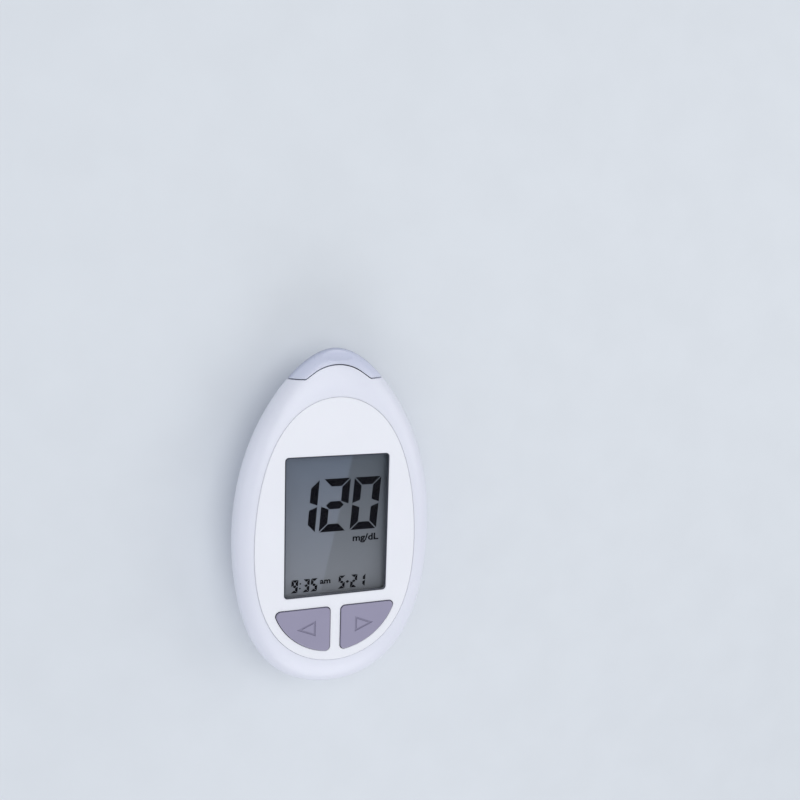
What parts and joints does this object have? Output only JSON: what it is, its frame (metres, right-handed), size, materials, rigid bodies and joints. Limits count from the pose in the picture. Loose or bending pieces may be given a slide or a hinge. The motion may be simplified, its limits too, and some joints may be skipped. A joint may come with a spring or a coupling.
{
  "type": "blood glucose meter",
  "caption": "Egg-shaped hand-held blood glucose meter with a display window, keys below it, a strip port cap at the narrow end and a hinged battery door in the back.",
  "frame": {"origin": "middle of the resting plane, under the centre of the body's length and width", "axes": "+Z out of the display, +Y towards the test strip port, +X to the right of the display"},
  "size_m": [0.0552, 0.094, 0.0205],
  "materials": {
    "white_gloss": "glossy",
    "rear_lavender": "satin",
    "key_lavender": "satin",
    "smoke_cap": "glossy",
    "clear_window": "clear",
    "display_glass": "clear",
    "reflector_film": "satin",
    "dark_foam": "matt",
    "inner_plastic": "matt",
    "switch_plastic": "matt",
    "zebra_rubber": "matt",
    "circuit_board": "satin",
    "chip_black": "matt",
    "nickel": "satin",
    "gold_plate": "satin",
    "screw_steel": "satin",
    "cell_steel": "satin",
    "label_film": "matt"
  },
  "bodies": {
    "housing": {"front_cover": "white_gloss", "face_plate": "white_gloss", "display_window": "clear_window", "display_gasket": "dark_foam", "display_front_glass": "display_glass", "display_rear_glass": "display_glass", "display_reflector": "reflector_film", "display_holder": "inner_plastic", "zebra_strip": "zebra_rubber", "left_switch_base": "switch_plastic", "right_switch_base": "switch_plastic", "main_board": "circuit_board", "microcontroller": "chip_black", "clock_crystal": "nickel", "chip_parts": "chip_black", "buzzer": "chip_black", "board_screws": "screw_steel", "strip_port_cap": "smoke_cap", "strip_connector": "inner_plastic", "strip_contacts": "gold_plate", "coin_cell": "cell_steel", "battery_negative_contact": "nickel", "battery_positive_contact": "nickel", "rear_cover": "rear_lavender", "label_plate": "label_film", "housing_screws": "screw_steel"},
    "left_button": {"left_key": "key_lavender", "left_switch_stem": "switch_plastic"},
    "right_button": {"right_key": "key_lavender", "right_switch_stem": "switch_plastic"},
    "battery_hatch": {"battery_door": "rear_lavender", "door_pad": "dark_foam"}
  },
  "joints": [
    {"name": "left_key_press", "type": "slide", "parent": "housing", "child": "left_button", "axis": [0, 0, -1], "range_m": [0, 0.0006], "stiffness_N_per_m": 1500, "springref_m": -0.0002},
    {"name": "right_key_press", "type": "slide", "parent": "housing", "child": "right_button", "axis": [0, 0, -1], "range_m": [0, 0.0006], "stiffness_N_per_m": 1500, "springref_m": -0.0002},
    {"name": "battery_door_hinge", "type": "hinge", "parent": "housing", "child": "battery_hatch", "pos_m": [0, 0.0066, 0.00105], "axis": [1, 0, 0], "range_deg": [0, 90]}
  ]
}
